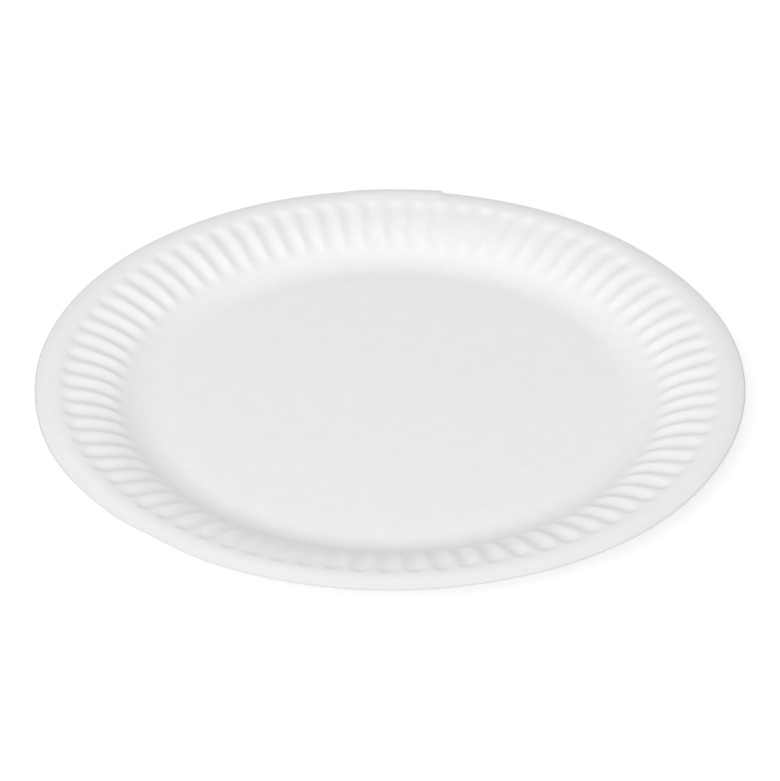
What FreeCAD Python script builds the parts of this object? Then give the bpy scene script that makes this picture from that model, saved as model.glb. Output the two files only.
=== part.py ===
import FreeCAD, Part
import math
import os

# Whole plate, in millimetres and degrees
outer_diameter = 230.0
board_thickness = 0.45

# Profile of the upper face, from the flat floor outwards: the floor's size follows from these
sweep_radius = 18.0          # hollow bend between the floor and the wall
wall_angle = 35.0            # slope of the wall
wall_length = 6.6            # straight wall, over which each flute runs in
shoulder_radius = 22.0       # rounded bend between the wall and the rim
rim_angle = 11.5             # the rim still rises a little where the flutes end
flute_run_out = 6.8          # rim over which each flute runs out
crown_radius = 14.0          # rounded bend of the plain rim, over its highest line
edge_angle = 12.0            # slope down beyond that bend
edge_length = 3.1            # straight down to the cut edge of the board

# Flutes pressed round the wall, at full depth over the shoulder, with a ridge between each two
flute_count = 80
first_ridge_angle = 1.67     # from +X round to the first ridge
flute_depth = 1.0            # from the line between two ridges down to the bottom of the flute
flute_bottom_share = 0.44    # the bottom's share of the distance between two ridges

node_name = "plate"
axis_point = FreeCAD.Vector(0, 0, 0)
axis_up = FreeCAD.Vector(0, 0, 1)

sector_angle = 360.0 / flute_count
wall_slope = math.radians(wall_angle)
rim_slope = math.radians(rim_angle)
edge_slope = math.radians(edge_angle)

# Stretches of the profile in order: name, length, slope at the start and slope at the end
stretches = [
    ("sweep", sweep_radius * wall_slope, 0.0, wall_slope),
    ("wall", wall_length, wall_slope, wall_slope),
    ("shoulder", shoulder_radius * (wall_slope - rim_slope), wall_slope, rim_slope),
    ("fluted_rim", flute_run_out, rim_slope, rim_slope),
    ("crown", crown_radius * (rim_slope + edge_slope), rim_slope, -edge_slope),
    ("edge", edge_length, -edge_slope, -edge_slope),
]
plain_stretches = ("sweep", "crown", "edge")


def step_along(length, start, end):
    """The way outwards and upwards along a stretch whose slope goes evenly from start to end."""
    if start == end:
        return length * math.cos(start), length * math.sin(start)
    radius = length / (end - start)
    return radius * (math.sin(end) - math.sin(start)), radius * (math.cos(start) - math.cos(end))


def profile_width():
    """The way outwards from the edge of the floor to the cut edge of the board."""
    return sum(step_along(length, start, end)[0] for name, length, start, end in stretches)


floor_radius = outer_diameter / 2 - profile_width()


def profile_places():
    """Start, middle and end of each stretch on the upper face, each as radius, height and slope."""
    places = {}
    radius = floor_radius
    height = board_thickness
    for name, length, start, end in stretches:
        middle = (start + end) / 2
        half_out, half_up = step_along(length / 2, start, middle)
        full_out, full_up = step_along(length, start, end)
        places[name] = [
            (radius, height, start),
            (radius + half_out, height + half_up, middle),
            (radius + full_out, height + full_up, end),
        ]
        radius += full_out
        height += full_up
    return places


profile = profile_places()


def sector_point(place, across, sink, below):
    """A point between two ridges: across is 0 on the first ridge and 1 on the next.

    The sheet is straight from ridge to ridge. sink is the depth into a flute, and below is how far the point
    lies under the upper face, both square to the profile.
    """
    radius, height, slope = place
    radius += below * math.sin(slope)
    height -= below * math.cos(slope)
    turn = math.radians(sector_angle)
    first = FreeCAD.Vector(radius, 0, height)
    second = FreeCAD.Vector(radius * math.cos(turn), radius * math.sin(turn), height)
    outwards = FreeCAD.Vector(math.cos(turn / 2), math.sin(turn / 2), 0)
    into_sheet = outwards * math.sin(slope) - axis_up * math.cos(slope)
    return first * (1 - across) + second * across + into_sheet * sink


def stretch_edge(name, across, sink, below):
    """One line along a stretch of the profile: straight, or an arc where the profile bends."""
    start, middle, end = [sector_point(place, across, sink, below) for place in profile[name]]
    if profile[name][0][2] == profile[name][2][2]:
        return Part.makeLine(start, end)
    return Part.Arc(start, middle, end).toShape()


def flat_face(points):
    """A flat face bounded by straight edges through the points."""
    return Part.Face(Part.makePolygon(points + [points[0]]))


def plain_face(name, below):
    """One sector of a stretch with no flute."""
    return Part.makeRuledSurface(stretch_edge(name, 0.0, 0.0, below), stretch_edge(name, 1.0, 0.0, below))


def flute_end_faces(end_place, full_place, below):
    """A sloping end of a flute: a bottom that widens to the whole sector, and a flank on each side of it."""
    first = (1 - flute_bottom_share) / 2
    second = 1 - first
    end_first = sector_point(end_place, 0.0, 0.0, below)
    end_second = sector_point(end_place, 1.0, 0.0, below)
    ridge_first = sector_point(full_place, 0.0, 0.0, below)
    ridge_second = sector_point(full_place, 1.0, 0.0, below)
    bottom_first = sector_point(full_place, first, flute_depth, below)
    bottom_second = sector_point(full_place, second, flute_depth, below)
    return [
        flat_face([end_first, end_second, bottom_second, bottom_first]),
        flat_face([end_first, ridge_first, bottom_first]),
        flat_face([end_second, ridge_second, bottom_second]),
    ]


def flute_middle_faces(below):
    """The flute at its full depth over the shoulder: two flanks and the bottom between them."""
    first = (1 - flute_bottom_share) / 2
    lines = [
        stretch_edge("shoulder", 0.0, 0.0, below),
        stretch_edge("shoulder", first, flute_depth, below),
        stretch_edge("shoulder", 1 - first, flute_depth, below),
        stretch_edge("shoulder", 1.0, 0.0, below),
    ]
    return [Part.makeRuledSurface(left, right) for left, right in zip(lines, lines[1:])]


def cut_edge_face():
    """The cut edge of the board, all round the rim."""
    cut = profile["edge"][2]
    return flat_face([
        sector_point(cut, 0.0, 0.0, 0.0),
        sector_point(cut, 1.0, 0.0, 0.0),
        sector_point(cut, 1.0, 0.0, board_thickness),
        sector_point(cut, 0.0, 0.0, board_thickness),
    ])


def sector_faces():
    """Both sides of the sheet from one ridge to the next, and the cut edge between them."""
    wall_start, wall_middle, wall_end = profile["wall"]
    rim_start, rim_middle, rim_end = profile["fluted_rim"]
    faces = [cut_edge_face()]
    for below in (0.0, board_thickness):
        faces += [plain_face(name, below) for name in plain_stretches]
        faces += flute_end_faces(wall_start, wall_end, below)
        faces += flute_middle_faces(below)
        faces += flute_end_faces(rim_end, rim_start, below)
    return faces


def floor_face(height):
    """One side of the flat floor, with a corner at the foot of each ridge."""
    corners = []
    for sector in range(flute_count):
        turn = math.radians(sector * sector_angle)
        corners.append(FreeCAD.Vector(floor_radius * math.cos(turn), floor_radius * math.sin(turn), height))
    return flat_face(corners)


def make_plate():
    """The whole sheet: one sector repeated round the axis, closed by the two sides of the floor."""
    faces = [floor_face(board_thickness), floor_face(0.0)]
    for face in sector_faces():
        for sector in range(flute_count):
            turned = face.copy()
            turned.rotate(axis_point, axis_up, sector * sector_angle)
            faces.append(turned)
    sheet = Part.makeCompound(faces)
    sheet.sewShape()
    solid = Part.makeSolid(sheet.Shells[0])
    if solid.Volume < 0:
        solid.reverse()
    solid.rotate(axis_point, axis_up, first_ridge_angle)
    return solid


plate = make_plate()
print("floor diameter", round(2 * floor_radius, 2), "height where the flutes end", round(profile["crown"][0][1], 2))
print("valid", plate.isValid(), "closed", plate.isClosed(), "solids", len(plate.Solids), "faces", len(plate.Faces))
print("volume", round(plate.Volume, 1), "box", plate.BoundBox)
os.makedirs("parts", exist_ok=True)
plate.exportStep("parts/" + node_name + ".step")
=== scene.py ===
import math

import bpy
import numpy as np
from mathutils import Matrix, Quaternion, Vector


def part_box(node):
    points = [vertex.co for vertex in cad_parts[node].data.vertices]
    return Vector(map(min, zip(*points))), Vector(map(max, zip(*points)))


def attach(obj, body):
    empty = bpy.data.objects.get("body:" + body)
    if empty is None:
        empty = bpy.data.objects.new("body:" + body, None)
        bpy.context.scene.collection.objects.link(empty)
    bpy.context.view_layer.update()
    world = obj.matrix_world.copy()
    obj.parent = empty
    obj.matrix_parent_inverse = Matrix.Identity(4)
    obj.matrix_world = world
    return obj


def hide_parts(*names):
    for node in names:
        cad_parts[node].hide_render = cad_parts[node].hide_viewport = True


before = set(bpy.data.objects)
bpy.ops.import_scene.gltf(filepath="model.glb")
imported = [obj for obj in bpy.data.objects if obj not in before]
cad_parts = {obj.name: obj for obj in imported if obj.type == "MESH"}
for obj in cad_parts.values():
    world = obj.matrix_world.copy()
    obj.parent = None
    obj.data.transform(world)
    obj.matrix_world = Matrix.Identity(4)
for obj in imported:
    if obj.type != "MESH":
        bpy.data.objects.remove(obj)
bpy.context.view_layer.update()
plateLow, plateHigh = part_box("plate")
mm = 0.001
print("frame loaded, plate", round((plateHigh.x - plateLow.x) / mm, 1), "mm across")

# The section of the pressed sheet, in millimetres and degrees. Over the flutes it runs between the level of
# the ridges and that of the bottoms. Beyond them it follows the solid, out to a cut edge that is rolled down
section = {
    "outerRadius": 114.65,     # cut edge of the board, a little inside the solid, with room to bend
    "boardThickness": 0.45,
    "sweepRadius": 18.0,
    "wallAngle": 31.5,
    "wallLength": 5.75,
    "shoulderRadius": 38.0,
    "rimAngle": 14.0,
    "rimLength": 5.3,
    "crownRadius": 14.0,
    "edgeAngle": 10.0,
    "edgeLength": 1.9,
    "rolledRadius": 1.4,       # the last of the board is pressed down at its cut edge
    "rolledAngle": 45.0,
    "floorRise": 0.22,         # the floor stands this much above the ring that it rests on
    "floorRiseWidth": 6.0,     # over this width, just inside the sweep
    "droop": 0.28,             # the rim's edge hangs this much lower on one side and higher on the other
    "droopAngle": 110.0,       # degrees from +X to the side that hangs
}

flutes = {
    "count": 80,
    "firstRidge": 1.67,        # degrees from +X
    "depth": 1.0,
    "innerEnd": 86.3,          # distance along the section where the flutes begin
    "runIn": 6.6,              # over this length the bottom of a flute sinks to its full depth
    "runOut": 9.0,             # over this length it rises again, as far as shallowEnd
    "shallowEnd": 0.85,        # share of the depth that is left at the rounded outer end
    "outerRadius": 107.8,      # plate radius at the outer end, in the middle of a flute
    "outerRound": 4.4,         # length over which the outer end rises to the rim
    "outerBow": 1.6,           # the outer end starts this much further in beside a ridge
    "flankSoftness": 0.35,     # share of half a flute over which its bottom is rounded
    "crestRadii": (92.0, 104.0),  # between these plate radii the ridges widen outwards
    "crestShares": (0.04, 0.14),  # from the first to the second share of the way between two flutes
    "ridgeSoftness": 0.10,     # share of the depth over which the edge of a ridge is rounded
    "ridgeShare": 0.55,        # ridges and bottoms are raised by this share of the depth at the inner end
    "depthSpread": 0.08,       # how much the flutes differ in depth
    "endSpread": 0.35,         # how much their outer ends differ
    "ridgeWander": 0.04,       # how far a ridge strays sideways, in flute widths
    "wanderWaves": (0.25, 0.45),  # how fast it sways to and fro, in radians per mm
    "wanderRunIn": 6.0,        # length before the wall over which it begins to stray
    "wanderRunOut": 4.0,       # length round the end of the rising rim over which it stops
}

# Where handling has bent the rim: angle, half width in degrees, lift and outward shift at the edge in mm
rimBends = (
    (32.0, 26.0, -0.10, -0.40),
    (115.0, 45.0, 0.20, 0.20),
    (155.0, 32.0, 0.0, 0.30),
    (180.0, 18.0, 0.0, 0.20),
    (203.0, 20.0, -0.10, 0.60),
    (232.0, 9.0, 0.25, -0.55),
    (310.0, 30.0, -0.15, 0.55),
)

# The edge stands up between two angles, and sticks out at the first of them, where the board is nicked
raisedEdge = {
    "from": 80.5,              # degrees from +X
    "to": 100.0,
    "sharp": 0.3,              # degrees over which it rises at the nick
    "soft": 5.0,               # degrees over which it comes down again
    "lift": 0.45,              # mm
    "outward": 0.8,            # mm, at the nick
    "outwardFade": 3,          # power with which that lessens away from the nick
    "reach": 6.0,              # mm over which it lifts, beyond the rising rim; further out the slope stays
}

# Creases in the plain rim: angle, radius, length, turn from the radial direction, half width and height,
# in degrees and mm, where a height below zero is a groove
creases = (
    (233.5, 111.2, 6.0, 10.0, 0.8, -0.12),
    (207.5, 111.5, 4.0, 30.0, 0.8, 0.05),
    (203.0, 110.5, 3.0, 60.0, 0.8, 0.05),
    (341.5, 110.0, 4.0, 20.0, 0.8, 0.10),
    (330.5, 110.5, 5.0, -30.0, 0.9, -0.05),
    (323.0, 112.5, 3.0, 10.0, 0.8, 0.06),
    (291.5, 112.5, 4.0, 0.0, 0.8, -0.08),
    (14.5, 112.0, 3.5, -15.0, 0.8, 0.09),
    (154.4, 103.5, 2.2, 70.0, 0.6, -0.12),
    (80.8, 111.0, 4.6, 0.0, 0.6, -0.14),
    (101.5, 112.4, 4.0, 86.0, 0.5, -0.08),
)
creaseFade = 1.2               # mm, the length over which the end of a crease fades

grid = {
    "columnsPerFlute": 12,
    "ridgeCrowding": 0.45,     # 0 spaces the columns evenly, 1 crowds them against the ridges
    "floorRings": (14.0, 30.0, 44.0, 54.0, 61.0, 66.0, 69.5, 71.0, 72.5, 74.0),
    "sweepRows": 12,
    "fluteRows": 26,           # half of them in its even part
    "fluteEvenPart": 0.62,     # share of a flute's length, from its inner end, where they are evenly spaced
    "fluteCrowding": 1.35,     # power with which the other half crowd towards the outer end
    "crownRows": 17,
    "fewestRows": 4,
    "underDetail": 0.7,        # rows on the under face, as a share of those on the upper face
    "lookupPoints": 4000,      # points along the section that a radius is looked up among
    "sharpAngle": 48.0,        # degrees between faces, from which an edge is drawn sharp
}


def buildStretches(s):
    # each stretch is (length, slope at its start, slope at its end); the first is the flat floor
    slopeNames = ("wallAngle", "rimAngle", "edgeAngle", "rolledAngle")
    wall, rim, edge, rolled = (math.radians(s[name]) for name in slopeNames)
    outer = [
        (s["sweepRadius"] * wall, 0.0, wall),
        (s["wallLength"], wall, wall),
        (s["shoulderRadius"] * (wall - rim), wall, rim),
        (s["rimLength"], rim, rim),
        (s["crownRadius"] * (rim + edge), rim, -edge),
        (s["edgeLength"], -edge, -edge),
        (s["rolledRadius"] * (rolled - edge), -edge, -rolled),
    ]
    width = 0.0
    for length, start, end in outer:
        if start == end:
            width += length * math.cos(start)
        else:
            width += length * (math.sin(end) - math.sin(start)) / (end - start)
    return np.array([(s["outerRadius"] - width, 0.0, 0.0)] + outer)


stretches = buildStretches(section)
stretchEnds = np.cumsum(stretches[:, 0])
floorEdge, sweepEnd = stretchEnds[:2]
shoulderEnd, rimEnd = stretchEnds[3:5]
edgeEnd = stretchEnds[-1]
floorHeight = section["boardThickness"]


def sectionAt(distance):
    # radius, height and slope of the upper face at a distance along the section from the middle:
    # on each stretch the slope changes evenly, so radius is the integral of cos(slope), height of sin(slope)
    distance = np.asarray(distance, float)
    lengths, slopeStart, slopeEnd = stretches.T
    bend = (slopeEnd - slopeStart) / lengths
    straight = slopeStart == slopeEnd
    safeBend = np.where(straight, 1.0, bend)

    def steps(index, along):
        slope = slopeStart[index] + bend[index] * along
        outArc = (np.sin(slope) - np.sin(slopeStart[index])) / safeBend[index]
        upArc = (np.cos(slopeStart[index]) - np.cos(slope)) / safeBend[index]
        out = np.where(straight[index], along * np.cos(slopeStart[index]), outArc)
        up = np.where(straight[index], along * np.sin(slopeStart[index]), upArc)
        return out, up, slope

    everyStretch = np.arange(len(lengths))
    outs, ups, _ = steps(everyStretch, lengths)
    startOut = np.concatenate([[0.0], np.cumsum(outs)[:-1]])
    startUp = np.concatenate([[0.0], np.cumsum(ups)[:-1]])
    index = np.clip(np.searchsorted(stretchEnds, distance), 0, len(lengths) - 1)
    along = distance - (stretchEnds[index] - lengths[index])
    out, up, slope = steps(index, along)
    return startOut[index] + out, startUp[index] + up, slope


def distanceAtRadius(radius):
    # radius grows with distance all along the section, so it can be looked up backwards
    samples = np.linspace(0.0, edgeEnd, grid["lookupPoints"])
    return np.interp(radius, sectionAt(samples)[0], samples)


print("section: floor edge", round(float(floorEdge), 1), "cut edge", round(float(edgeEnd), 1))


def perFlute(spread, seed):
    # a factor for each flute: 1 + spread * a random number from -1 to 1
    return 1.0 + spread * np.random.default_rng(seed).uniform(-1.0, 1.0, flutes["count"])


def smoothStep(x):
    # 3 x^2 - 2 x^3 between 0 and 1, and level beyond them
    x = np.clip(x, 0.0, 1.0)
    return x * x * (3.0 - 2.0 * x)


def columnPlaces(step):
    # columns crowd towards the ridges: share = even spacing mixed with (1 - cos(pi * even)) / 2
    even = np.arange(0, grid["columnsPerFlute"], step) / grid["columnsPerFlute"]
    crowded = (1.0 - np.cos(np.pi * even)) / 2.0
    share = even + grid["ridgeCrowding"] * (crowded - even)
    number = np.repeat(np.arange(flutes["count"]), len(share))
    return number, np.tile(share, flutes["count"])


def halfWidth(distance):
    # half of a flute as a share of half the pitch: 1 - crest, where the crest widens as a smooth step
    near, far = distanceAtRadius(np.array(flutes["crestRadii"]))
    crestNear, crestFar = flutes["crestShares"]
    return 1.0 - crestNear - (crestFar - crestNear) * smoothStep((distance - near) / (far - near))


def fluteOutline(number, share):
    # plan of one flute: across runs from -1 on one ridge to 1 on the next, and the outer end is a shallow
    # bow, outerEnd - outerBow * across^2
    across = 2.0 * share - 1.0
    spread = flutes["endSpread"] * np.random.default_rng(5).uniform(-1, 1, flutes["count"])
    outerEnd = distanceAtRadius(flutes["outerRadius"]) + spread[number]
    inner = np.full(across.shape, flutes["innerEnd"])
    outer = outerEnd - flutes["outerBow"] * across ** 2
    return across, inner, outer, outerEnd


def rowsBetween(start, end, count):
    # evenly spaced rows that leave out the start and take in the end
    share = np.linspace(0.0, 1.0, count + 1)[1:]
    return start + np.multiply.outer(share, end - start)


def sheetRows(number, share, detail):
    # one row after another from the floor to the cut edge, each row one distance per column; in the outer
    # part of the flutes the way to their outer end is 1 - (1 - even)^crowding
    across, inner, outer, outerEnd = fluteOutline(number, share)
    flat = np.ones(len(number))
    sweepRows = max(grid["fewestRows"], int(grid["sweepRows"] * detail))
    half = max(grid["fewestRows"], int(grid["fluteRows"] * detail / 2))
    rows = [np.multiply.outer(np.array(grid["floorRings"]), flat), floorEdge * flat[None, :]]
    rows.append(rowsBetween(floorEdge * flat, inner, sweepRows))
    middle = grid["fluteEvenPart"] * outer + (1.0 - grid["fluteEvenPart"]) * inner
    rows.append(rowsBetween(inner, middle, half))
    closing = 1.0 - (1.0 - np.linspace(0.0, 1.0, half + 1)[1:]) ** grid["fluteCrowding"]
    rows.append(middle + np.multiply.outer(closing, outer - middle))
    rows.append(rowsBetween(outer, edgeEnd * flat, int(grid["crownRows"] * detail)))
    return np.vstack(rows), across, outerEnd


def fluteSink(distance, across, number, outerEnd):
    # depth of a flute: depth * run-in * run-out * (1 - flank) * (1 - end), where flank is a hyperbola from
    # the middle to the ridge and end rises smoothly over the bowed outer end; a second hyperbola rounds the
    # edges. The lift raises ridge and bottom alike at the inner end and fades outwards
    soft = flutes["flankSoftness"]
    place = across / halfWidth(distance)
    flank = (np.hypot(place, soft) - soft) / (math.hypot(1.0, soft) - soft)
    endStart = outerEnd - flutes["outerRound"] - flutes["outerBow"] * across ** 2
    bowl = np.clip(1.0 - flank, 0.0, None) * (1.0 - smoothStep((distance - endStart) / flutes["outerRound"]))
    rounded = np.hypot(bowl, flutes["ridgeSoftness"]) - flutes["ridgeSoftness"]
    runIn = smoothStep((distance - flutes["innerEnd"]) / flutes["runIn"])
    runOut = smoothStep((outerEnd - distance) / flutes["runOut"])
    runOut = flutes["shallowEnd"] + (1.0 - flutes["shallowEnd"]) * runOut
    depth = flutes["depth"] * perFlute(flutes["depthSpread"], 3)[number]
    lift = flutes["ridgeShare"] * smoothStep((outerEnd - distance) / (outerEnd - flutes["innerEnd"]))
    return runIn * (depth * runOut * rounded - flutes["depth"] * lift)


def ridgeStray(number, share, distance):
    # each ridge wanders sideways by a slow sine of its own; between two ridges the stray is mixed evenly
    draw = np.random.default_rng(7)
    size = flutes["ridgeWander"] * draw.uniform(-1.0, 1.0, flutes["count"])
    phase = draw.uniform(0.0, 2.0 * np.pi, flutes["count"])
    wave = draw.uniform(*flutes["wanderWaves"], flutes["count"])
    following = (number + 1) % flutes["count"]
    runIn, runOut = flutes["wanderRunIn"], flutes["wanderRunOut"]

    def stray(ridge):
        return size[ridge] * np.sin(wave[ridge] * distance + phase[ridge])

    begun = smoothStep((distance - sweepEnd + runIn) / runIn)
    window = begun * smoothStep((rimEnd + runOut / 2 - distance) / runOut)
    return window * ((1.0 - share) * stray(number) + share * stray(following))


def rimShift(angle, distance):
    # lift and outward shift of the rim: each bend is a bell (1 + cos) / 2 round the plate, and grows with the
    # square of the way out from the flutes' inner ends for the shift, or from the shoulder for the lift;
    # the droop goes round as one cosine and grows with the fourth power of that way; the raised edge is a
    # product of smooth steps, and its shift also falls with a power of the way from the nick
    outward = np.zeros(angle.shape)
    outerWay = np.clip((distance - shoulderEnd) / (edgeEnd - shoulderEnd), 0.0, 1.0) ** 2
    lift = -section["droop"] * np.cos(np.radians(angle - section["droopAngle"])) * outerWay ** 2
    wholeWay = np.clip((distance - flutes["innerEnd"]) / (edgeEnd - flutes["innerEnd"]), 0.0, 1.0) ** 2
    for middle, bendWidth, up, out in rimBends:
        away = (angle - middle + 180.0) % 360.0 - 180.0
        bell = (1.0 + np.cos(np.pi * np.clip(away / bendWidth, -1.0, 1.0))) / 2.0
        lift += up * bell * outerWay
        outward += out * bell * wholeWay
    r = raisedEdge
    window = smoothStep((angle - r["from"]) / r["sharp"]) * smoothStep((r["to"] - angle) / r["soft"])
    window = window * smoothStep((distance - rimEnd) / r["reach"])
    nearNick = np.clip((r["to"] - angle) / (r["to"] - r["from"]), 0.0, 1.0) ** r["outwardFade"]
    lift += r["lift"] * window
    outward += r["outward"] * window * nearNick
    return lift, outward


def creaseHeight(angle, radius):
    # each crease is a ridge or a groove: height * exp(-(across / half width)^2), with rounded ends
    total = np.zeros(angle.shape)
    for middle, middleRadius, length, turn, creaseWidth, height in creases:
        sideways = np.radians((angle - middle + 180.0) % 360.0 - 180.0) * radius
        outwards = radius - middleRadius
        turned = math.radians(turn)
        along = outwards * math.cos(turned) + sideways * math.sin(turned)
        across = sideways * math.cos(turned) - outwards * math.sin(turned)
        ends = smoothStep((length / 2 - np.abs(along)) / creaseFade + 0.5)
        total += height * np.exp(-(across / creaseWidth) ** 2) * ends
    return total


patternRadius = 100.0          # mm, circle round the axis that carries the patterns which follow the sheet


def sheetPoints(number, share, below, detail):
    # the section turned about the axis, sunk along its own normal by the flute's depth and by below
    distance, across, outerEnd = sheetRows(number, share, detail)
    radius, height, slope = sectionAt(distance)
    height = height + section["floorRise"] * smoothStep((floorEdge - distance) / section["floorRiseWidth"])
    turn = number + share + ridgeStray(number, share, distance)
    degrees = (flutes["firstRidge"] + turn * 360.0 / flutes["count"]) % 360.0
    sink = fluteSink(distance, across, number, outerEnd) - creaseHeight(degrees, radius) + below
    lift, outward = rimShift(degrees, distance)
    radius = radius + outward + sink * np.sin(slope)
    height = height + floorHeight + lift - sink * np.cos(slope)
    angle = np.radians(degrees)
    points = np.stack([radius * np.cos(angle), radius * np.sin(angle), height], axis=-1)
    circle = patternRadius * np.stack([np.cos(angle), np.sin(angle)], axis=-1)
    place = np.concatenate([circle, distance[..., None]], axis=-1)
    return points * mm, place


def gridQuads(rows, columns, first):
    # rows run outwards and columns run round, with the last column joined to the first
    row, column = np.meshgrid(np.arange(rows - 1), np.arange(columns), indexing="ij")
    near = first + row * columns
    here, after = column, (column + 1) % columns
    quads = [near + here, near + columns + here, near + columns + after, near + after]
    return np.stack(quads, axis=-1).reshape(-1, 4)


def meshFrom(name, points, triangles, quads):
    # corners of all faces go in as one array, triangles first
    mesh = bpy.data.meshes.new(name)
    corners = np.concatenate([triangles.ravel(), quads.ravel()]).astype(np.int32)
    starts = np.concatenate([np.arange(len(triangles)) * 3,
                             len(triangles) * 3 + np.arange(len(quads)) * 4]).astype(np.int32)
    mesh.vertices.add(len(points))
    mesh.vertices.foreach_set("co", points.astype(np.float32).ravel())
    mesh.loops.add(len(corners))
    mesh.loops.foreach_set("vertex_index", corners)
    mesh.polygons.add(len(starts))
    mesh.polygons.foreach_set("loop_start", starts)
    mesh.update(calc_edges=True)
    mesh.validate()
    return mesh


def buildPlate():
    # upper face on fine columns, under face on every second one, joined along the cut edge of the board
    upperNumber, upperShare = columnPlaces(1)
    underNumber, underShare = columnPlaces(2)
    upper, upperPlace = sheetPoints(upperNumber, upperShare, 0.0, 1.0)
    under, underPlace = sheetPoints(underNumber, underShare, section["boardThickness"], grid["underDetail"])
    upperRows, upperColumns = upper.shape[:2]
    underRows, underColumns = under.shape[:2]
    middleHeights = (floorHeight + section["floorRise"], section["floorRise"])
    centres = np.array([[0.0, 0.0, height] for height in middleHeights]) * mm
    points = np.concatenate([centres, upper.reshape(-1, 3), under.reshape(-1, 3)])
    upperFirst = len(centres)
    underFirst = upperFirst + upperRows * upperColumns

    # a fan round each centre closes the floor
    around = np.arange(upperColumns)
    aroundUnder = np.arange(underColumns)
    upperFan = np.stack([np.zeros_like(around), upperFirst + around,
                         upperFirst + (around + 1) % upperColumns], axis=-1)
    underFan = np.stack([np.ones_like(aroundUnder), underFirst + (aroundUnder + 1) % underColumns,
                         underFirst + aroundUnder], axis=-1)

    # three triangles join two columns of the upper face to one of the under face
    upperEdge = upperFirst + (upperRows - 1) * upperColumns
    underEdge = underFirst + (underRows - 1) * underColumns
    one, two, three = 2 * aroundUnder, 2 * aroundUnder + 1, (2 * aroundUnder + 2) % upperColumns
    after = (aroundUnder + 1) % underColumns
    cutEdge = np.concatenate([
        np.stack([upperEdge + one, underEdge + aroundUnder, upperEdge + two], axis=-1),
        np.stack([upperEdge + two, underEdge + aroundUnder, underEdge + after], axis=-1),
        np.stack([upperEdge + two, underEdge + after, upperEdge + three], axis=-1),
    ])
    triangles = np.concatenate([upperFan, underFan, cutEdge])
    quads = np.concatenate([gridQuads(upperRows, upperColumns, upperFirst),
                            gridQuads(underRows, underColumns, underFirst)[:, ::-1]])
    mesh = meshFrom("pressedPlate", points, triangles, quads)

    # place on the sheet in mm: the circle of patternRadius, and the distance along the section
    place = np.concatenate([np.zeros((2, 3)), upperPlace.reshape(-1, 3), underPlace.reshape(-1, 3)])
    mesh.attributes.new("sheetPlace", "FLOAT_VECTOR", "POINT").data.foreach_set(
        "vector", place.astype(np.float32).ravel())
    mesh.shade_smooth()
    mesh.set_sharp_from_angle(angle=math.radians(grid["sharpAngle"]))
    piece = bpy.data.objects.new("pressedPlate", mesh)
    bpy.context.scene.collection.objects.link(piece)
    return piece


plate = buildPlate()
print("plate mesh:", len(plate.data.vertices), "points,",
      len(plate.data.polygons) * 2, "triangles at most")


def linearColour(hexText):
    # sRGB hex to linear: c / 12.92 below 0.04045, else ((c + 0.055) / 1.055) ^ 2.4
    parts = [int(hexText[i:i + 2], 16) / 255.0 for i in (1, 3, 5)]
    linear = [c / 12.92 if c <= 0.04045 else ((c + 0.055) / 1.055) ** 2.4 for c in parts]
    return (*linear, 1.0)


def addNode(tree, kind, settings=None, links=None):
    # one node with its settings, inputs by name or number, and the sockets that feed it
    node = tree.nodes.new(kind)
    for key, value in (settings or {}).items():
        if isinstance(key, int) or key in node.inputs:
            node.inputs[key].default_value = value
        else:
            setattr(node, key, value)
    for key, socket in (links or {}).items():
        tree.links.new(socket, node.inputs[key])
    return node


def newMaterial(name):
    material = bpy.data.materials.new(name)
    material.use_nodes = True
    material.node_tree.nodes.clear()
    return material, material.node_tree


coatedBoard = {
    "brightTone": "#F1F1F0",     # bleached board under a clear coat
    "dullTone": "#EFEFEE",       # thinner spots in the sheet
    "rimPaintedShadeTone": "#EAEAE8",        # painted shade: the outer rim drawn a little greyer, for the lower light that reaches it
    "rimShadeInset": 4.0,             # mm beyond the rising rim, where that painted shade begins
    "cutFibreAndShadeTone": "#D0CFCC",        # bare fibres at the cut edge, drawn darker as painted shade for the dark line along the edge
    "cutAndShadeWidth": 0.8,             # mm of board along the cut edge that has lost its coat and carries that painted shade
    "cloudSize": 6.0,            # mm between thick and thin spots of the sheet
    "cloudBand": (0.35, 0.65),   # values of the noise that become wholly dull and wholly bright
    "fibreLength": 2.4,          # mm, drawn coarser than the real 1 mm, so that it shows
    "fibreWidth": 0.5,           # mm, drawn coarser than the real 0.03 mm
    "fibreHeight": 0.004,        # mm
    "fibreTurn": 24.0,           # degrees that the noise is turned, away from its own grid
    "wrinkleLength": 5.0,        # mm, pressed wrinkles that run round the plate over the flutes
    "wrinkleWidth": 1.1,         # mm
    "wrinkleHeight": 0.05,       # mm
    "wrinkleRunIn": 3.0,         # mm from the inner ends of the flutes to full wrinkles
    "wrinkleRunOut": (-1.5, 1.0),  # mm from the end of the rising rim, where they begin to fade and end
    "roughness": (0.40, 0.50),
    "cutRoughness": 0.8,
    "ior": 1.47,
}


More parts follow.
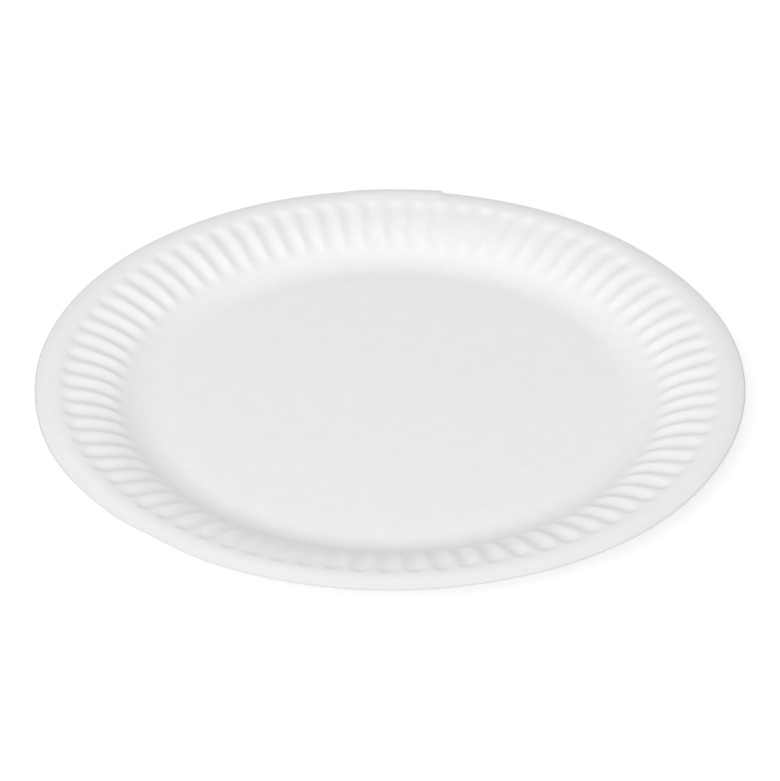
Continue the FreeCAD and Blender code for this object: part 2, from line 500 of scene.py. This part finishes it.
def makeCoatedBoard(c):
    # bleached paperboard with a thin smooth coat, pressed hot: matt white with a faint satin sheen,
    # slightly cloudy where the sheet is thicker, and bare and dull along its cut edge; painted shade greys
    # the outer rim
    material, tree = newMaterial("pressedCoatedBoard")
    place = addNode(tree, "ShaderNodeTexCoord").outputs["Object"]
    cloudPlace = addNode(tree, "ShaderNodeMapping", {"Scale": (1 / (c["cloudSize"] * mm),) * 3},
                         {"Vector": place}).outputs[0]
    cloud = addNode(tree, "ShaderNodeTexNoise", {"Scale": 1.0, "Detail": 3.0, "Roughness": 0.55},
                    {"Vector": cloudPlace}).outputs["Fac"]
    dullBelow, brightAbove = c["cloudBand"]
    cloudSharp = addNode(tree, "ShaderNodeMapRange", {"From Min": dullBelow, "From Max": brightAbove},
                         {"Value": cloud}).outputs[0]
    tone = addNode(tree, "ShaderNodeMix", {"data_type": "RGBA", 6: linearColour(c["dullTone"]),
                                           7: linearColour(c["brightTone"])}, {0: cloudSharp}).outputs[2]
    fibrePlace = addNode(tree, "ShaderNodeMapping",
                         {"Rotation": (0.0, 0.0, math.radians(c["fibreTurn"])),
                          "Scale": (1 / (c["fibreLength"] * mm), 1 / (c["fibreWidth"] * mm),
                                    1 / (c["fibreWidth"] * mm))}, {"Vector": place}).outputs[0]
    fibre = addNode(tree, "ShaderNodeTexNoise", {"Scale": 1.0, "Detail": 2.0, "Roughness": 0.6,
                                                 "Distortion": 0.6}, {"Vector": fibrePlace}).outputs["Fac"]
    sheetPlace = addNode(tree, "ShaderNodeAttribute", {"attribute_name": "sheetPlace"}).outputs["Vector"]
    along = addNode(tree, "ShaderNodeSeparateXYZ", links={0: sheetPlace}).outputs[2]
    # painted shade: the outer rim grows greyer towards the cut edge
    rimShadeShare = addNode(tree, "ShaderNodeMapRange",
                       {"From Min": float(rimEnd) + c["rimShadeInset"], "From Max": float(edgeEnd)},
                       {"Value": along}).outputs[0]
    tone = addNode(tree, "ShaderNodeMix", {"data_type": "RGBA", 7: linearColour(c["rimPaintedShadeTone"])},
                   {0: rimShadeShare, 6: tone}).outputs[2]
    # the last of the board: bare fibres, duller, and darker as painted shade for the dark edge line
    cutEdgeAndShadeShare = addNode(tree, "ShaderNodeMapRange",
                       {"From Min": float(edgeEnd) - c["cutAndShadeWidth"], "From Max": float(edgeEnd)},
                       {"Value": along}).outputs[0]
    colour = addNode(tree, "ShaderNodeMix", {"data_type": "RGBA", 7: linearColour(c["cutFibreAndShadeTone"])},
                     {0: cutEdgeAndShadeShare, 6: tone}).outputs[2]
    wrinklePlace = addNode(tree, "ShaderNodeMapping",
                           {"Scale": (1 / c["wrinkleLength"], 1 / c["wrinkleLength"], 1 / c["wrinkleWidth"])},
                           {"Vector": sheetPlace}).outputs[0]
    wrinkle = addNode(tree, "ShaderNodeTexNoise", {"Scale": 1.0, "Detail": 2.0, "Roughness": 0.5},
                      {"Vector": wrinklePlace}).outputs["Fac"]
    fadeStart, fadeEnd = c["wrinkleRunOut"]
    inFlutes = addNode(tree, "ShaderNodeMapRange",
                       {"From Min": flutes["innerEnd"], "From Max": flutes["innerEnd"] + c["wrinkleRunIn"]},
                       {"Value": along}).outputs[0]
    outFlutes = addNode(tree, "ShaderNodeMapRange",
                        {"From Min": float(rimEnd) + fadeEnd, "From Max": float(rimEnd) + fadeStart},
                        {"Value": along}).outputs[0]
    overFlutes = addNode(tree, "ShaderNodeMath", {"operation": "MULTIPLY"},
                         {0: inFlutes, 1: outFlutes}).outputs[0]
    sheen = addNode(tree, "ShaderNodeMapRange", {"To Min": c["roughness"][0], "To Max": c["roughness"][1]},
                    {"Value": fibre}).outputs[0]
    roughness = addNode(tree, "ShaderNodeMix", {"data_type": "FLOAT", 3: c["cutRoughness"]},
                        {0: cutEdgeAndShadeShare, 2: sheen}).outputs[0]
    wrinkles = addNode(tree, "ShaderNodeBump", {"Distance": c["wrinkleHeight"] * mm},
                       {"Strength": overFlutes, "Height": wrinkle}).outputs[0]
    relief = addNode(tree, "ShaderNodeBump", {"Strength": 1.0, "Distance": c["fibreHeight"] * mm},
                     {"Height": fibre, "Normal": wrinkles}).outputs[0]
    shader = addNode(tree, "ShaderNodeBsdfPrincipled", {"IOR": c["ior"]},
                     {"Base Color": colour, "Roughness": roughness, "Normal": relief})
    addNode(tree, "ShaderNodeOutputMaterial", links={"Surface": shader.outputs[0]})
    return material


plate.data.materials.append(makeCoatedBoard(coatedBoard))
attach(plate, "root")
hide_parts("plate")
print("board finished")

room = {
    "floorSize": 6.0,            # m
    "floorTone": "#F4F4F4",
    "shadowShare": 0.55,         # how much of the light on the floor shows to the camera
    "floorLift": 0.60,           # what the camera sees on top of that, so that open floor is white
    "ambient": 0.585,            # light from the white room
}


def directlySeen(tree):
    # 1 for rays from the camera, also by way of a mirror or glass, and 0 for the light that falls on things
    path = addNode(tree, "ShaderNodeLightPath")
    seen = path.outputs["Is Camera Ray"]
    for ray in ("Is Glossy Ray", "Is Transmission Ray"):
        seen = addNode(tree, "ShaderNodeMath", {"operation": "ADD", "use_clamp": True},
                       {0: seen, 1: path.outputs[ray]}).outputs[0]
    return seen


def makeFloor(r):
    # matt white studio floor: to light it is plain pale, to the camera it is white with a light shadow
    half = r["floorSize"] / 2
    mesh = bpy.data.meshes.new("studioFloor")
    mesh.from_pydata([(-half, -half, 0), (half, -half, 0), (half, half, 0), (-half, half, 0)], [],
                     [(0, 1, 2, 3)])
    floor = bpy.data.objects.new("studioFloor", mesh)
    bpy.context.scene.collection.objects.link(floor)
    material, tree = newMaterial("mattWhiteStudioFloor")
    seen = directlySeen(tree)
    plain = addNode(tree, "ShaderNodeBsdfDiffuse", {"Color": linearColour(r["floorTone"])})
    share = r["shadowShare"]
    lit = addNode(tree, "ShaderNodeBsdfDiffuse", {"Color": (share, share, share, 1.0)})
    lift = addNode(tree, "ShaderNodeEmission", {"Strength": r["floorLift"]})
    shown = addNode(tree, "ShaderNodeAddShader", links={0: lit.outputs[0], 1: lift.outputs[0]})
    mixed = addNode(tree, "ShaderNodeMixShader", links={0: seen, 1: plain.outputs[0], 2: shown.outputs[0]})
    addNode(tree, "ShaderNodeOutputMaterial", links={"Surface": mixed.outputs[0]})
    floor.data.materials.append(material)
    return floor


def makeWorld(r):
    # white room: full white to the camera, and an even soft light on everything else
    world = bpy.data.worlds.new("whiteRoom")
    bpy.context.scene.world = world
    world.use_nodes = True
    tree = world.node_tree
    tree.nodes.clear()
    strength = addNode(tree, "ShaderNodeMapRange", {"To Min": r["ambient"], "To Max": 1.0},
                       {"Value": directlySeen(tree)}).outputs[0]
    light = addNode(tree, "ShaderNodeBackground", {"Color": (1.0, 1.0, 1.0, 1.0)}, {"Strength": strength})
    addNode(tree, "ShaderNodeOutputWorld", links={"Surface": light.outputs[0]})


lamps = {
    # name: azimuth round from +X, elevation, distance m, width m, watts
    "keyLight": (255.0, 38.0, 1.6, 1.2, 15.4),
}


def makeLamp(name, azimuth, elevation, distance, width, watts):
    # a round soft lamp that faces the plate from its direction
    light = bpy.data.lights.new(name, "AREA")
    light.shape = "DISK"
    light.size = width
    light.energy = watts
    lamp = bpy.data.objects.new(name, light)
    a, e = math.radians(azimuth), math.radians(elevation)
    direction = Vector((math.cos(a) * math.cos(e), math.sin(a) * math.cos(e), math.sin(e)))
    lamp.location = direction * distance
    lamp.rotation_mode = "QUATERNION"
    lamp.rotation_quaternion = direction.to_track_quat("Z", "Y")
    bpy.context.scene.collection.objects.link(lamp)
    return lamp


makeFloor(room)
makeWorld(room)
for lampName, lampValues in lamps.items():
    makeLamp(lampName, *lampValues)
print("room lit")

photo = {
    "width": 780,                                # px
    "height": 781,                               # px
    "focal": 2857.0,                             # px
    "elevation": 34.10,                          # degrees down from the horizon to the flute ends
    "distance": 926.8,                           # mm to the middle of the circle through the flute ends
    "aimHeight": 12.00,                          # mm, height of that circle
    "aimPixel": (390.37, 368.6),                 # px, where its middle lies in the photograph
    "roll": 0.11,                                # degrees
    "sensor": 36.0,                              # mm
    "clip": (0.05, 50.0),                        # m, nearest and furthest that is drawn
}


def makeCamera(p):
    # the camera looks along +Y and down; it is turned so that the aim point lies at its pixel
    data = bpy.data.cameras.new("photoCamera")
    camera = bpy.data.objects.new("photoCamera", data)
    down = math.radians(p["elevation"])
    back = Vector((0.0, -math.cos(down), math.sin(down)))
    camera.location = (Vector((0.0, 0.0, p["aimHeight"])) + back * p["distance"]) * mm
    pitch = math.atan((p["height"] / 2 - p["aimPixel"][1]) / p["focal"])
    yaw = math.atan((p["aimPixel"][0] - p["width"] / 2) / p["focal"])
    looking = Quaternion((1.0, 0.0, 0.0), math.pi / 2 - down - pitch)
    turned = Quaternion((0.0, 0.0, 1.0), yaw) @ looking
    camera.rotation_mode = "QUATERNION"
    camera.rotation_quaternion = turned @ Quaternion((0.0, 0.0, 1.0), math.radians(p["roll"]))
    data.lens = p["sensor"] * p["focal"] / max(p["width"], p["height"])
    data.sensor_width = p["sensor"]
    data.clip_start, data.clip_end = p["clip"]
    bpy.context.scene.collection.objects.link(camera)
    bpy.context.scene.camera = camera


makeCamera(photo)
bpy.context.scene.view_settings.view_transform = "Standard"
